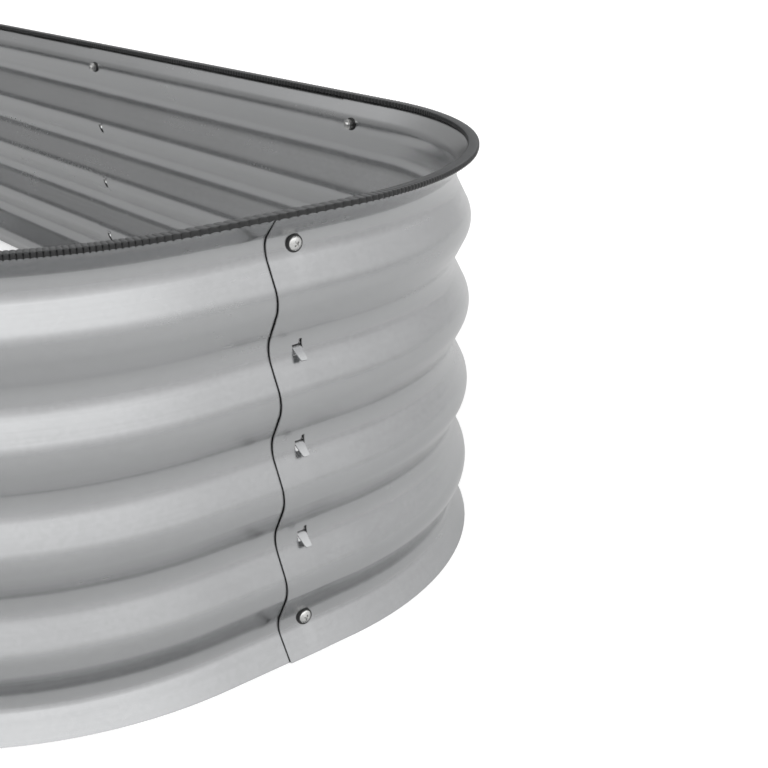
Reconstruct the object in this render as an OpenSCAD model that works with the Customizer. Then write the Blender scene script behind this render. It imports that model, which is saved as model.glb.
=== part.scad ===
// Raised garden bed: an oval ring of twelve corrugated, galvanised steel panels.
// Every panel is the same blank. It laps over the panel behind it and under the
// panel ahead of it, so the ring closes like a row of shingles. Each lap is held
// by two bolts with a rubber washer on each side, and by three tongues that hook
// through slots. A rubber trim covers the top edge. There is no floor: the bed
// stands on its lower edge.
//
// Millimetres, +Z up. The origin is on the ground, at the middle of the bed,
// with the long walls along X. Heights are measured from the ground, and depths
// across the wall from the plane of the rib crests, positive outwards.

/* [Bed] */
// Length over the rib crests of the two rounded ends
bed_l = 2386; // [1900:2:2900]
// Width over the rib crests of the two long walls
bed_w = 600; // [520:5:720]
// Straight middle stretch of each rounded end
end_flat = 95; // [80:1:140]
// Distance of the end's bolt line from the bed's middle line
seam_shift = 20.5; // [15:0.5:24]

/* [Corrugated sheet] */
// Thickness of the sheet, measured across the wall
sheet_t = 0.8; // [0.5:0.1:1.2]
// Height from one rib to the next
rib_pitch = 64; // [56:1:76]
// Depth of a rib, from crest to valley
rib_depth = 11.3; // [8:0.1:14]
// Radius that crests and valleys are rolled to
rib_r = 20; // [14:0.5:22]
// Radius of the first and last valley on the side of the sheet's edge
lip_r = 11.5; // [8:0.5:13]
// Height of the first valley above the ground
foot_h = 22; // [19:0.5:28]
// Height of the rim above the last valley
rim_h = 22; // [20:0.5:28]
// Upright land along the rim that the trim grips
rim_land = 3.6; // [3:0.1:5]
// How far the lower edge stands out past the rib crests
foot_out = 1; // [0:0.1:3]
// How far the rim stands out past the rib crests
rim_out = 0.8; // [0:0.1:3]

/* [Laps] */
// Length that two panels overlap
lap_l = 43; // [36:1:60]
// Distance of the bolts and tongues from the outer sheet's end
lap_edge = 19.5; // [16:0.5:20]
// Clear space between the two sheets of a lap
lap_gap = 0.25; // [0.1:0.05:0.5]

/* [Hook tongues and slots] */
// Width of a tongue at its root
tongue_w = 7.2; // [5:0.1:9]
// Width of a tongue at its tip
tongue_tip_w = 3.4; // [2:0.1:5]
// Reach of a tongue away from the sheet
tongue_out = 7.7; // [5:0.1:9]
// Drop of a tongue from its root to its tip
tongue_drop = 5.4; // [4:0.1:7]
// Depth of the tongue's root below the valley that it stands in
root_drop = 2; // [1.5:0.1:3]
// How far a slot reaches above the valley
slot_rise = 3; // [2:0.1:4]
// Space between a tongue and each side of its slot
slot_gap = 0.2; // [0.1:0.05:0.5]
// Space between a tongue's underside and the slot's lower edge
hook_gap = 0.4; // [0.3:0.1:1]

/* [Bolts, washers and nuts] */
// Diameter of the bolt
bolt_d = 5; // [4:0.5:6]
// Length of bolt past the nut
bolt_end = 1.8; // [0.5:0.1:4]
// Diameter of the bolt hole in the sheets
bolt_hole_d = 6; // [6:0.1:7]
// How far the upper bolt stands below the last valley
bolt_drop = 1; // [0:0.5:3]
// Diameter of the pan head
head_d = 8.6; // [8:0.1:10]
// Height of the pan head
head_h = 2.4; // [2:0.1:3]
// Length of the cross recess, end to end
recess_l = 4.4; // [3.5:0.1:5.5]
// Width of the cross recess
recess_w = 1; // [0.8:0.1:1.3]
// Depth of the cross recess
recess_depth = 1.3; // [1:0.1:1.6]
// Diameter of the rubber washers
washer_d = 11; // [10.5:0.1:13]
// Thickness of a rubber washer where it is thickest
washer_t = 1.9; // [1.8:0.1:2.5]
// Thickness that an inner washer is pinched to over the ridge of its valley
washer_thin = 0.9; // [0.6:0.1:1.3]
// Size of the nut across its flats
nut_af = 8; // [7.5:0.5:10]
// Thickness of the nut
nut_t = 4; // [3:0.1:5]
// Space that the bolt has in its nut and washer, on the radius
bolt_gap = 0.05; // [0.02:0.01:0.1]

/* [Edge trim] */
// Width of the trim
trim_w = 8.4; // [7:0.1:12]
// Height of the trim above the rim
trim_top = 0.9; // [0.6:0.1:4]
// Depth that the trim reaches down over the rim
trim_grip = 2.6; // [2.5:0.1:3]
// Space between the trim and the sheets in its slot, each side
trim_gap = 0.1; // [0.05:0.05:0.3]
// Opening where the two ends of the trim meet
trim_joint = 1; // [0.5:0.5:3]

/* [Hidden] */

panel_count = 12;
valley_count = 5;

// Seating clearance of a washer or nut on its sheet, and overrun of a cut.
seat_gap = 0.05;
over = 3;

// Segments of a rolled crest or valley, and of a dome.
arc_steps = 8;
lip_steps = 5;
dome_steps = 6;

galvanised = [0.68, 0.69, 0.70];
bright_zinc = [0.80, 0.80, 0.79];
rubber = [0.10, 0.10, 0.11];

// The plan: a ring of four straight runs and four quarter turns at the crests.
// Stations run anticlockwise along it from the middle of the +X end.
corner_r = (bed_w - end_flat) / 2;
quarter_l = PI * corner_r / 2;
side_l = bed_l - 2 * corner_r;
ring_l = 2 * end_flat + 2 * side_l + 4 * quarter_l;
panel_l = ring_l / panel_count;
centre_x = bed_l / 2 - corner_r;
centre_y = end_flat / 2;

// Even runs are straight and odd runs turn a quarter. The ring has eight, and
// runs 8 and 9 are 0 and 1 again, for a panel that laps across the first station.
last_run = 9;
run_l = [for (i = [0:last_run]) i % 2 == 1 ? quarter_l : i % 4 == 0 ? end_flat : side_l];
run_start = [for (i = 0, s = -end_flat / 2; i <= last_run + 1; s = s + (i <= last_run ? run_l[i] : 0), i = i + 1) s];

function run_of(s) = max([for (i = [0:last_run]) if (s >= run_start[i]) i]);
function turn_centre(i) = let (c = (i % 2 == 1 ? (i - 1) / 2 : i / 2 + 3) % 4)
    [c == 0 || c == 3 ? centre_x : -centre_x, c < 2 ? centre_y : -centre_y];

// Direction that the wall faces at station s, and a point at depth o there.
function facing(s, i) = 90 * floor(i / 2) + (i % 2 == 1 ? (s - run_start[i]) / corner_r * 180 / PI : 0);
function spot(s, i, o = 0) = let (a = facing(s, i), along = i % 2 == 1 ? 0 : s - run_start[i])
    turn_centre(i) + (corner_r + o) * [cos(a), sin(a)] + along * [-sin(a), cos(a)];
function seam_station(k) = seam_shift + k * panel_l;

// Each panel leans by one sheet and one gap from end to end, so its first edge
// lies outside the panel behind it and its last edge inside the one ahead.
layer_step = sheet_t + lap_gap;

// The profile: a rolled valley (r_in) that meets a straight slope to a point
// out and rise away from the valley's bottom.
function slope_angle(out, rise, r) = atan2(out - r, rise) + asin(r / norm([out - r, rise]));
function crest_angle(r) = asin(2 * r / norm([2 * r - rib_depth, rib_pitch / 2])) - atan2(2 * r - rib_depth, rib_pitch / 2);

// The rolled radius can't be larger than the rib has room for.
rolled_r = min(rib_r, 0.95 * (pow(rib_pitch / 2, 2) + pow(rib_depth, 2)) / (4 * rib_depth));
rib_angle = crest_angle(rolled_r);
foot_angle = slope_angle(rib_depth + foot_out, foot_h, lip_r);
rim_angle = slope_angle(rib_depth + rim_out, rim_h - rim_land, lip_r);
top_valley = foot_h + (valley_count - 1) * rib_pitch;
wall_h = top_valley + rim_h;

function valley_at(n) = foot_h + n * rib_pitch;
// Points of a valley, from angle a0 below it to a1 above it.
function valley_arc(z, r, a0, a1, steps) =
    [for (j = [0:steps]) let (a = a0 + (a1 - a0) * j / steps) [-rib_depth + r - r * cos(a), z + r * sin(a)]];
function crest_arc(z) =
    [for (j = [0:arc_steps]) let (a = rib_angle * (2 * j / arc_steps - 1)) [-rolled_r + rolled_r * cos(a), z + rolled_r * sin(a)]];

// The outer face of the sheet from the ground to the rim, as depth and height.
face_line = concat(
    [[foot_out, 0]],
    valley_arc(foot_h, lip_r, -foot_angle, 0, lip_steps),
    [for (n = [0:valley_count - 2]) each concat(
        n == 0 ? [for (p = valley_arc(foot_h, rolled_r, 0, rib_angle, arc_steps / 2)) if (p[1] > foot_h) p]
               : valley_arc(valley_at(n), rolled_r, -rib_angle, rib_angle, arc_steps),
        crest_arc(valley_at(n) + rib_pitch / 2))],
    [for (p = valley_arc(top_valley, rolled_r, -rib_angle, 0, arc_steps / 2)) if (p[1] < top_valley) p],
    valley_arc(top_valley, lip_r, 0, rim_angle, lip_steps),
    [[rim_out, wall_h - rim_land], [rim_out, wall_h]]
);

// Depth of the outer face at height z.
function face_depth(z) = lookup(z, [for (p = face_line) [p[1], p[0]]]);

// A child outline, drawn as depth and height, swept along the wall.
module along_wall(s0, s1) {
    for (i = [0:last_run]) {
        lo = max(s0, run_start[i]);
        hi = min(s1, run_start[i + 1]);
        if (hi - lo > sheet_t / 10) {
            if (i % 2 == 0)
                translate(spot(hi, i)) rotate([90, 0, facing(hi, i)]) linear_extrude(hi - lo) translate([0, 0]) children();
            else
                translate(turn_centre(i)) rotate(facing(lo, i))
                    rotate_extrude(angle = facing(hi, i) - facing(lo, i), $fn = 180) translate([corner_r, 0]) children();
        }
    }
}

// A child that points along +Z, set at station s, height z and depth o so that
// it points out of the wall. Its local X points down and its Y along the wall.
module at_wall(s, z, o = 0) {
    i = run_of(s);
    translate(concat(spot(s, i, o), z)) rotate([0, 90, facing(s, i)]) children();
}

module sheet_outline() {
    polygon(concat(face_line, [for (j = [len(face_line) - 1:-1:0]) face_line[j] - [sheet_t, 0]]));
}

// The shift or turn that gives panel k its lean.
module leaning(k) {
    s0 = seam_station(k);
    s1 = seam_station(k + 1);
    a0 = facing(s0, run_of(s0));
    a1 = facing(s1, run_of(s1));
    n0 = [cos(a0), sin(a0)];
    n1 = [cos(a1), sin(a1)];
    if (a1 - a0 > 45)
        translate(layer_step / 2 / (1 - n0 * n1) * (n0 - n1)) children();
    else {
        middle = (spot(s0, run_of(s0)) + spot(s1, run_of(s1))) / 2;
        translate(middle) rotate(layer_step / panel_l * 180 / PI) translate(-middle) children();
    }
}

// Heights of the two bolts and of the three tongue roots of a lap.
bolt_heights = [foot_h, top_valley - bolt_drop];
root_heights = [for (n = [1:valley_count - 2]) valley_at(n) - root_drop];

// The tongue leaves the inner sheet at its root and slopes out and down. Its
// underside sets the top of the hole that it was cut from, and the slot's foot.
tongue_l = norm([tongue_out, tongue_drop]);
under = sheet_t * [-tongue_drop, -tongue_out] / tongue_l;
tongue_fall = tongue_drop / tongue_out;
wall_slope = sin(rib_angle);
slot_foot = (layer_step - under[0] - under[1] / tongue_fall) / (1 / tongue_fall - wall_slope) + hook_gap;

// The outline of a tongue seen from outside, widened by the gap on each side.
module tongue_outline(start, end, gap) {
    root_half = tongue_w / 2 + gap;
    tip_half = tongue_tip_w / 2 + gap;
    polygon([[start, root_half], [end, tip_half], [end, -tip_half], [start, -root_half]]);
}

// A tongue at lap k, rooted at height z.
module tongue(k, z) {
    at_wall(seam_station(k), z, face_depth(z) - layer_step / 2)
        intersection() {
            rotate([90, 0, 0]) linear_extrude(tongue_w, center = true)
                // local X points down and Y points out
                polygon([[0, 0], [tongue_drop, tongue_out], [tongue_drop, tongue_out] - [under[1], -under[0]],
                         [-under[1], under[0]], [-under[1], -sheet_t], [0, -sheet_t]]);
            translate([0, 0, -over]) linear_extrude(tongue_out + 2 * over) tongue_outline(0, tongue_drop - under[1], 0);
        }
}

// The hole that a tongue was cut from, in the inner sheet.
module tongue_hole(k, z) {
    at_wall(seam_station(k), z, face_depth(z) - over - layer_step)
        linear_extrude(2 * over + layer_step) tongue_outline(-under[1], tongue_l - under[1], slot_gap / 2);
}

// The slot in the outer sheet, from above the valley down past the tongue.
module slot(k, z) {
    at_wall(seam_station(k), z, face_depth(z))
        translate([-root_drop - slot_rise, -tongue_w / 2 - slot_gap, -over])
            cube([slot_rise + root_drop + slot_foot, tongue_w + 2 * slot_gap, 3 * over]);
}

module bolt_hole(k, z) {
    at_wall(seam_station(k), z, face_depth(z) - over) cylinder(d = bolt_hole_d, h = 3 * over, $fn = 48);
}

// One panel, from the lap behind it to the lap ahead of it.
module panel(k) {
    difference() {
        leaning(k) along_wall(seam_station(k) - lap_edge, seam_station(k + 1) + lap_l - lap_edge) sheet_outline();
        for (z = root_heights) {
            slot(k, z);
            tongue_hole(k + 1, z);
        }
        for (z = bolt_heights) {
            bolt_hole(k, z);
            bolt_hole(k + 1, z);
        }
    }
    for (z = root_heights) tongue(k + 1, z);
}

module corner_panel(k) {
    color(galvanised) panel(k);
}

module side_panel(k) {
    color(galvanised) panel(k);
}

// The trim's outline: a channel that straddles the rim, wide enough in its slot
// for the two sheets of a lap.
module trim_outline() {
    slot_w = 2 * sheet_t + lap_gap + 2 * trim_gap;
    middle = rim_out - sheet_t / 2;
    translate([middle - trim_w / 2, wall_h - trim_grip])
        difference() {
            square([trim_w, trim_grip + trim_top]);
            translate([(trim_w - slot_w) / 2, -over]) square([slot_w, over + trim_grip + seat_gap]);
        }
}

module edge_trim() {
    color(rubber) {
        along_wall(0, ring_l / 2 - trim_joint / 2) trim_outline();
        along_wall(ring_l / 2 + trim_joint / 2, ring_l) trim_outline();
    }
}

// Depths of the stack on a bolt, from the outer washer to the bolt's end.
outer_face = layer_step / 2;
inner_face = -layer_step / 2 - sheet_t;
washer_front = -rib_depth + outer_face + washer_t;
nut_seat = -rib_depth + inner_face - seat_gap - washer_thin;
bolt_tip = nut_seat - nut_t - bolt_end;

// A pan-headed bolt with a cross recess.
module seam_bolts(k) {
    edge_h = head_h / 3;
    dome_h = head_h - edge_h;
    dome_r = (pow(head_d / 2, 2) + pow(dome_h, 2)) / (2 * dome_h);
    dome_a = asin(head_d / 2 / dome_r);
    color(bright_zinc) for (z = bolt_heights) at_wall(seam_station(k), z, washer_front)
        difference() {
            union() {
                translate([0, 0, bolt_tip - washer_front]) cylinder(d = bolt_d, h = washer_front - bolt_tip, $fn = 48);
                rotate_extrude($fn = 64) polygon(concat([[0, 0], [head_d / 2, 0]],
                    [for (j = [0:dome_steps]) let (a = dome_a * (1 - j / dome_steps)) [dome_r * sin(a), head_h - dome_r + dome_r * cos(a)]]));
            }
            for (a = [45, 135]) rotate(a)
                translate([-recess_l / 2, -recess_w / 2, head_h - recess_depth]) cube([recess_l, recess_w, recess_depth + over]);
        }
}

// A rubber washer from depth o outwards, pressed to the sheet face that lies
// shift away from the face line. side is 1 outside the bed and -1 inside.
module washer(k, z, o, shift, side) {
    intersection() {
        at_wall(seam_station(k), z, o)
            difference() {
                cylinder(d = washer_d, h = washer_t, $fn = 64);
                translate([0, 0, -over]) cylinder(d = bolt_d + 2 * bolt_gap, h = washer_t + 2 * over, $fn = 48);
            }
        at_wall(seam_station(k), 0)
            rotate([90, 0, 0]) rotate([0, 0, 90]) linear_extrude(washer_d + 2 * over, center = true)
                polygon(concat([for (p = face_line) p + [shift + side * seat_gap, 0]],
                               [[side * (rib_depth + washer_d), wall_h], [side * (rib_depth + washer_d), 0]]));
    }
}

module seam_washers(k) {
    color(rubber) for (z = bolt_heights) {
        washer(k, z, washer_front - washer_t, outer_face, 1);
        washer(k, z, nut_seat, inner_face, -1);
    }
}

module seam_nuts(k) {
    color(bright_zinc) for (z = bolt_heights) at_wall(seam_station(k), z, nut_seat - nut_t)
        difference() {
            rotate(30) cylinder(d = nut_af / cos(30), h = nut_t, $fn = 6);
            translate([0, 0, -over]) cylinder(d = bolt_d + 2 * bolt_gap, h = nut_t + 2 * over, $fn = 48);
        }
}

corner_panel(0);  // corner_panel_1
side_panel(1);  // side_panel_1
side_panel(2);  // side_panel_2
side_panel(3);  // side_panel_3
side_panel(4);  // side_panel_4
corner_panel(5);  // corner_panel_2
corner_panel(6);  // corner_panel_3
side_panel(7);  // side_panel_5
side_panel(8);  // side_panel_6
side_panel(9);  // side_panel_7
side_panel(10);  // side_panel_8
corner_panel(11);  // corner_panel_4
edge_trim();
seam_bolts(0);  // seam_01_bolts
seam_bolts(1);  // seam_02_bolts
seam_bolts(2);  // seam_03_bolts
seam_bolts(3);  // seam_04_bolts
seam_bolts(4);  // seam_05_bolts
seam_bolts(5);  // seam_06_bolts
seam_bolts(6);  // seam_07_bolts
seam_bolts(7);  // seam_08_bolts
seam_bolts(8);  // seam_09_bolts
seam_bolts(9);  // seam_10_bolts
seam_bolts(10);  // seam_11_bolts
seam_bolts(11);  // seam_12_bolts
seam_washers(0);  // seam_01_washers
seam_washers(1);  // seam_02_washers
seam_washers(2);  // seam_03_washers
seam_washers(3);  // seam_04_washers
seam_washers(4);  // seam_05_washers
seam_washers(5);  // seam_06_washers
seam_washers(6);  // seam_07_washers
seam_washers(7);  // seam_08_washers
seam_washers(8);  // seam_09_washers
seam_washers(9);  // seam_10_washers
seam_washers(10);  // seam_11_washers
seam_washers(11);  // seam_12_washers
seam_nuts(0);  // seam_01_nuts
seam_nuts(1);  // seam_02_nuts
seam_nuts(2);  // seam_03_nuts
seam_nuts(3);  // seam_04_nuts
seam_nuts(4);  // seam_05_nuts
seam_nuts(5);  // seam_06_nuts
seam_nuts(6);  // seam_07_nuts
seam_nuts(7);  // seam_08_nuts
seam_nuts(8);  // seam_09_nuts
seam_nuts(9);  // seam_10_nuts
seam_nuts(10);  // seam_11_nuts
seam_nuts(11);  // seam_12_nuts
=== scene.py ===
# %% [markdown]
# # A raised garden bed of corrugated steel
#
# The bed is an oval ring of twelve galvanised panels. Each panel laps over its
# neighbour, where two bolts and three hooked tongues hold the lap. A ribbed
# rubber strip covers the sharp top edge. The CAD model comes first, as a frame
# that says where everything is. The lesson then builds finer meshes in the same
# places and gives each one a procedural finish.

# %% Load the CAD model as a fixed frame
import math

import bpy
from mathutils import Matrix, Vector


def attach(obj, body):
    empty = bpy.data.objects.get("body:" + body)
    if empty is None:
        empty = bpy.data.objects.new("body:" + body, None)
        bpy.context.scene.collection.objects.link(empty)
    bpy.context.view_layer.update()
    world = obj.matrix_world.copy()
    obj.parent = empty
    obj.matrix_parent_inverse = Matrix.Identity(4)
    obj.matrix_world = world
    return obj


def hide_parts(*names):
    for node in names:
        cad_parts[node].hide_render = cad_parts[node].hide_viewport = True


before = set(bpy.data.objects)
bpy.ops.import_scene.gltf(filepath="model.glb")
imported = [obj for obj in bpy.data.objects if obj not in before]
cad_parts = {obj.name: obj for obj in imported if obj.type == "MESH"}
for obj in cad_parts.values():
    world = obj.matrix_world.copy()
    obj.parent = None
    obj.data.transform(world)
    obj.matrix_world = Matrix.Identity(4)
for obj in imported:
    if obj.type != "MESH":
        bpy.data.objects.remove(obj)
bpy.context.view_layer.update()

# %% [markdown]
# ## The camera
#
# The camera stands where the photographer stood: outside one rounded end, at
# one and a half times the wall's height, looking down along the far long wall.
# It is made first, so that every later step can be judged through it.

# %% Set up the camera
CAMERA_PLACE = Vector((1.77409, -0.40718, 0.47845))
CAMERA_TURN = math.radians(139.97)  # compass direction of the view, from +X
CAMERA_DIP = math.radians(21.78)  # how far the view dips below the horizon
SENSOR_WIDTH, LENS = 36, 59.77  # millimetres
NEAREST, FARTHEST = 0.05, 100  # metres from the camera that are still drawn

scene = bpy.context.scene
camera = bpy.data.objects.new("camera", bpy.data.cameras.new("camera"))
scene.collection.objects.link(camera)
look = Vector((
    math.cos(CAMERA_TURN) * math.cos(CAMERA_DIP),
    math.sin(CAMERA_TURN) * math.cos(CAMERA_DIP),
    -math.sin(CAMERA_DIP),
))
camera.location = CAMERA_PLACE
camera.rotation_mode = "QUATERNION"
camera.rotation_quaternion = look.to_track_quat("-Z", "Y")
camera.data.sensor_width, camera.data.lens = SENSOR_WIDTH, LENS
camera.data.clip_start, camera.data.clip_end = NEAREST, FARTHEST
scene.camera = camera
scene.view_settings.view_transform = "Standard"
print("camera looks along", [round(c, 3) for c in look])

# %% [markdown]
# ## The sizes
#
# The drawing's sizes are repeated here in millimetres and turned into metres.
# Depths across the wall are measured from the plane of the rib crests, positive
# outwards, and heights from the ground.

# %% Write down the sizes
MM = 0.001

BED_LENGTH, BED_WIDTH, END_FLAT = 2386 * MM, 600 * MM, 95 * MM
SEAM_SHIFT = 20.5 * MM  # the first bolt line, from the middle of the +X end
PANEL_COUNT = 12

SHEET = 0.8 * MM
RIB_PITCH, RIB_DEPTH, RIB_RADIUS, LIP_RADIUS = 64 * MM, 11.3 * MM, 20 * MM, 11.5 * MM
FOOT_VALLEY, RIM_RISE, RIM_LAND = 22 * MM, 22 * MM, 3.6 * MM
FOOT_OUT, RIM_OUT = 1 * MM, 0.8 * MM
VALLEYS = [FOOT_VALLEY + n * RIB_PITCH for n in range(5)]
WALL_HEIGHT = VALLEYS[-1] + RIM_RISE

LAP, LAP_EDGE = 43 * MM, 19.5 * MM  # LAP_EDGE is what the outer sheet has beyond its bolts
LAYER_STEP = SHEET + 0.25 * MM

BOLT_HEIGHTS = [FOOT_VALLEY, VALLEYS[-1] - 1 * MM]
ROOT_DROP, SLOT_RISE = 2 * MM, 3 * MM
ROOT_HEIGHTS = [valley - ROOT_DROP for valley in VALLEYS[1:-1]]

print("wall height", WALL_HEIGHT, "tongue roots", [round(z, 4) for z in ROOT_HEIGHTS])

# %% [markdown]
# ## The plan
#
# Seen from above, the crests follow four straight runs and four quarter turns.
# A station is a distance along that line, anticlockwise from the middle of the
# +X end. One function turns a station into a point, the direction that the wall
# faces there and the direction of travel, so that no later step repeats the
# trigonometry.

# %% Walk round the plan
CORNER_RADIUS = (BED_WIDTH - END_FLAT) / 2
QUARTER = math.pi * CORNER_RADIUS / 2
SIDE = BED_LENGTH - 2 * CORNER_RADIUS
RUNS = [END_FLAT, QUARTER, SIDE, QUARTER] * 2
RING = sum(RUNS)
PANEL = RING / PANEL_COUNT


def spot(station):
    """Point of the plan, outward direction, direction of travel, facing angle."""
    rest = (station + END_FLAT / 2) % RING
    run = 0
    while rest > RUNS[run]:
        rest -= RUNS[run]
        run += 1
    turning = run % 2 == 1
    corner = (run - 1) // 2 if turning else (run // 2 + 3) % 4
    centre = Vector((
        (BED_LENGTH / 2 - CORNER_RADIUS) * (1 if corner in (0, 3) else -1),
        END_FLAT / 2 * (1 if corner < 2 else -1),
        0,
    ))
    angle = math.pi / 2 * (run // 2) + (rest / CORNER_RADIUS if turning else 0)
    out = Vector((math.cos(angle), math.sin(angle), 0))
    along = Vector((-math.sin(angle), math.cos(angle), 0))
    point = centre + CORNER_RADIUS * out + (0 if turning else rest) * along
    return point, out, along, angle


def seam(k):
    """Station of the bolt line at the start of panel k."""
    return SEAM_SHIFT + k * PANEL


print("once round:", round(RING, 4), "m, one panel:", round(PANEL, 4), "m")

# %% [markdown]
# ## The rib profile
#
# Roll forming bends the sheet into round crests and valleys joined by straight
# slopes. The profile below is the sheet's outer face from the ground to the rim.
# It is worked out from the radii instead of being drawn by eye, so the arcs and
# slopes meet without a kink, which satin metal would show at once.

# %% Draw the rib profile
ARC_STEPS, LIP_STEPS = 12, 8
SAME_POINT = 1e-6


def slope_angle(out, rise, radius):
    """Slope of a line that leaves a rolled valley and passes through a point."""
    return math.atan2(out - radius, rise) + math.asin(radius / math.hypot(out - radius, rise))


def rolled(height, radius, start, end, steps, crest=False):
    """Points on a rolled crest or valley, between two angles."""
    points = []
    for j in range(steps + 1):
        a = start + (end - start) * j / steps
        bulge = radius * (1 - math.cos(a))
        points.append((-bulge if crest else bulge - RIB_DEPTH, height + radius * math.sin(a)))
    return points


def rib_profile():
    """The outer face as (depth, height), from the ground up."""
    reach = 2 * RIB_RADIUS - RIB_DEPTH
    rib = math.asin(2 * RIB_RADIUS / math.hypot(reach, RIB_PITCH / 2)) - math.atan2(reach, RIB_PITCH / 2)
    foot = slope_angle(RIB_DEPTH + FOOT_OUT, FOOT_VALLEY, LIP_RADIUS)
    rim = slope_angle(RIB_DEPTH + RIM_OUT, RIM_RISE - RIM_LAND, LIP_RADIUS)
    line = [(FOOT_OUT, 0)] + rolled(VALLEYS[0], LIP_RADIUS, -foot, 0, LIP_STEPS)
    for valley in VALLEYS[:-1]:
        start, steps = (-rib, ARC_STEPS) if valley > VALLEYS[0] else (0, ARC_STEPS // 2)
        line += rolled(valley, RIB_RADIUS, start, rib, steps)
        line += rolled(valley + RIB_PITCH / 2, RIB_RADIUS, -rib, rib, ARC_STEPS, crest=True)
    line += rolled(VALLEYS[-1], RIB_RADIUS, -rib, 0, ARC_STEPS // 2)
    line += rolled(VALLEYS[-1], LIP_RADIUS, 0, rim, LIP_STEPS)
    line += [(RIM_OUT, WALL_HEIGHT - RIM_LAND), (RIM_OUT, WALL_HEIGHT)]
    return [p for n, p in enumerate(line) if n == 0 or math.dist(p, line[n - 1]) > SAME_POINT]


FACE = rib_profile()
ROLLED_OUT = [0.0]  # distance along the profile at each of its points
for lower, upper in zip(FACE, FACE[1:]):
    ROLLED_OUT.append(ROLLED_OUT[-1] + math.dist(lower, upper))


def between(value, given, wanted):
    """Reads one list of numbers against another, with straight lines between."""
    for n in range(len(given) - 1):
        if value <= given[n + 1]:
            break
    share = (value - given[n]) / (given[n + 1] - given[n])
    return wanted[n] + share * (wanted[n + 1] - wanted[n])


def face_depth(height):
    return between(height, [z for _, z in FACE], [d for d, _ in FACE])


def unrolled(height):
    return between(height, [z for _, z in FACE], ROLLED_OUT)


print("profile points:", len(FACE), "flat width of the sheet:", round(ROLLED_OUT[-1], 4), "m")

# %% [markdown]
# ## Small helpers
#
# Everything below needs the same moves: turning lists of points into a mesh
# object, and adding a node to a tree with its inputs filled in. The scratch
# objects that feed a node tree are kept in a list, to be thrown away at the end.

# %% Mesh and node helpers
scratch = []


def mesh_object(name, points, edges=(), faces=(), numbers=None):
    """A mesh object at the origin; numbers are per-point attributes by name."""
    mesh = bpy.data.meshes.new(name)
    mesh.from_pydata([tuple(p) for p in points], list(edges), list(faces))
    for label, values in (numbers or {}).items():
        mesh.attributes.new(label, "FLOAT", "POINT").data.foreach_set("value", values)
    made = bpy.data.objects.new(name, mesh)
    scene.collection.objects.link(made)
    return made


def guide_line(name, points, closed=False, numbers=None):
    """A chain of edges that a tree reads as a curve."""
    count = len(points)
    edges = [(n, (n + 1) % count) for n in range(count if closed else count - 1)]
    made = mesh_object(name, points, edges, numbers=numbers)
    scratch.append(made)
    return made


def add(tree, kind, wires=None, **settings):
    """Adds a node, and fills or wires its inputs by name or number."""
    node = tree.nodes.new(kind)
    node.location = (200 * (len(tree.nodes) % 12), -260 * (len(tree.nodes) // 12))
    for key, value in settings.items():
        setattr(node, key, value)
    for key, value in (wires or {}).items():
        if isinstance(value, bpy.types.NodeSocket):
            tree.links.new(value, node.inputs[key])
        else:
            node.inputs[key].default_value = value
    return node


def maths(tree, operation, *values):
    """The result of one Math node."""
    return add(tree, "ShaderNodeMath", dict(enumerate(values)), operation=operation).outputs[0]


def vector_maths(tree, operation, *vectors):
    return add(tree, "ShaderNodeVectorMath", dict(enumerate(vectors)), operation=operation).outputs[0]


def scaled(tree, vector, factor):
    """A vector or a colour multiplied by a number."""
    return add(tree, "ShaderNodeVectorMath", {0: vector, "Scale": factor}, operation="SCALE").outputs[0]


# %% [markdown]
# ## The galvanised steel
#
# Galvanised steel is a dull metal skin: a metallic shader of middling roughness.
# Zinc freezes in faint patches, and the forming rolls leave streaks along the
# ribs, so colour, roughness and a very shallow bump vary with both. Pictures of
# steel could do this, but noise nodes stay sharp at any distance. They read the
# flat sheet's own UV map, because streaks follow the sheet round the corners.

# %% Finish helpers
NOISE_LOW, NOISE_HIGH = 0.3, 0.7  # soft noise seldom leaves this range


def new_finish(name):
    """A new material, its tree and its Principled shader."""
    finish = bpy.data.materials.new(name)
    finish.use_nodes = True
    shader = finish.node_tree.nodes["Principled BSDF"]
    return finish, finish.node_tree, shader


def patches(tree, where, scale, low, high, detail=2.0):
    """Soft noise, turned into numbers between low and high."""
    noise = add(tree, "ShaderNodeTexNoise", {"Vector": where, "Scale": scale, "Detail": detail})
    spread = add(tree, "ShaderNodeMapRange", {
        "Value": noise.outputs["Fac"], "From Min": NOISE_LOW, "From Max": NOISE_HIGH,
        "To Min": low, "To Max": high,
    })
    return spread.outputs["Result"]


# %% Make the galvanised steel
STREAK_SCALE, CLOUD_SCALE, CRYSTAL_SCALE = (2, 160, 1), 9.0, 330.0
STREAK_DEPTH = 0.4 * MM


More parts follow.
